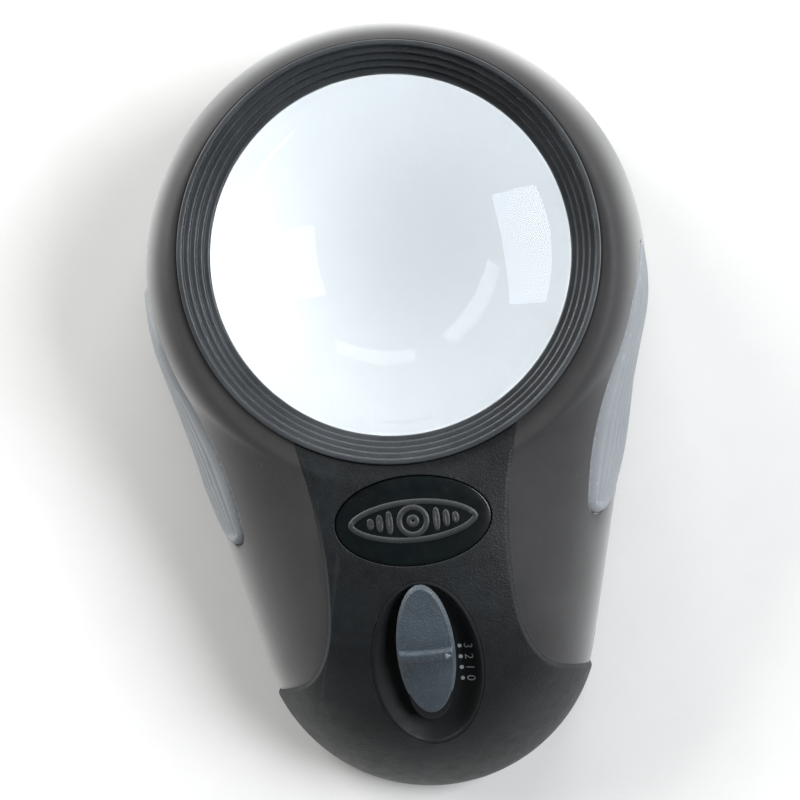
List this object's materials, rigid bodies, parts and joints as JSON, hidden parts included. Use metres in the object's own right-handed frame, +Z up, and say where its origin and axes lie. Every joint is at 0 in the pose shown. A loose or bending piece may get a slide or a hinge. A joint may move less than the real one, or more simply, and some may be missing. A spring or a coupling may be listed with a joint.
{
  "type": "low vision magnifier",
  "caption": "lighted stand magnifier with a large round lens in a stepped bezel, mouse-shaped black housing, grey side grips and a slide switch for the light",
  "frame": {"origin": "middle of the object's footprint, on the page it stands on", "axes": "+Z up from the page, +Y from the rounded tail with the switch towards the lens end, +X to the right when the user reads"},
  "size_m": [0.0978, 0.1507, 0.039],
  "materials": {
    "shell_black": "soft-touch moulded black, smooth on the flanks, fine grain on the spine",
    "base_black": "fine spark-grained moulded black",
    "bezel_black": "fine-grained charcoal plastic with satin edges",
    "gloss_black": "polished black",
    "knob_grey": "grained blue-grey plastic",
    "grip_rubber": "satin light grey-blue rubber with lengthwise grooves",
    "lens_acrylic": "clear polished acrylic",
    "reflector_white": "satin white moulded reflector",
    "seal_black": "soft black foam",
    "board_white": "white solder mask",
    "board_green": "green solder mask",
    "led_white": "white light-emitting package",
    "chip_black": "black chip body",
    "contact_metal": "nickel-plated spring sheet",
    "frame_metal": "stamped tinned steel",
    "slider_white": "natural white acetal",
    "screw_steel": "zinc-plated steel",
    "cell_jacket": "plain printed metal jacket",
    "wire_skin": "thin wire insulation",
    "pad_felt": "low-friction glide pad"
  },
  "bodies": {
    "casing": {"top_housing": "shell_black", "bottom_housing": "base_black", "lens_bezel": "bezel_black", "lens": "lens_acrylic", "lens_gasket": "seal_black", "light_shroud": "reflector_white", "led_ring_board": "board_white", "white_leds": "led_white", "left_grip": "grip_rubber", "right_grip": "grip_rubber", "badge_plate": "gloss_black", "switch_dish": "gloss_black", "switch_frame": "frame_metal", "switch_contacts": "contact_metal", "control_board": "board_green", "board_resistors": "chip_black", "board_screws": "screw_steel", "battery_holder": "base_black", "battery_1": "cell_jacket", "battery_2": "cell_jacket", "battery_3": "cell_jacket", "positive_contacts": "contact_metal", "negative_contacts": "contact_metal", "battery_wires": "wire_skin", "led_wires": "wire_skin", "housing_screws": "screw_steel", "glide_pads": "pad_felt"},
    "knob": {"slide_knob": "knob_grey", "switch_slider": "slider_white", "contact_wiper": "contact_metal"},
    "door": {"battery_door": "base_black"}
  },
  "joints": [
    {"name": "knob_slide", "type": "slide", "parent": "casing", "child": "knob", "axis": [0, 0.9205, 0.3907], "range_m": [-0.00434, 0.00217]},
    {"name": "door_slide", "type": "slide", "parent": "casing", "child": "door", "axis": [0, -1, 0], "range_m": [0, 0.05]}
  ]
}
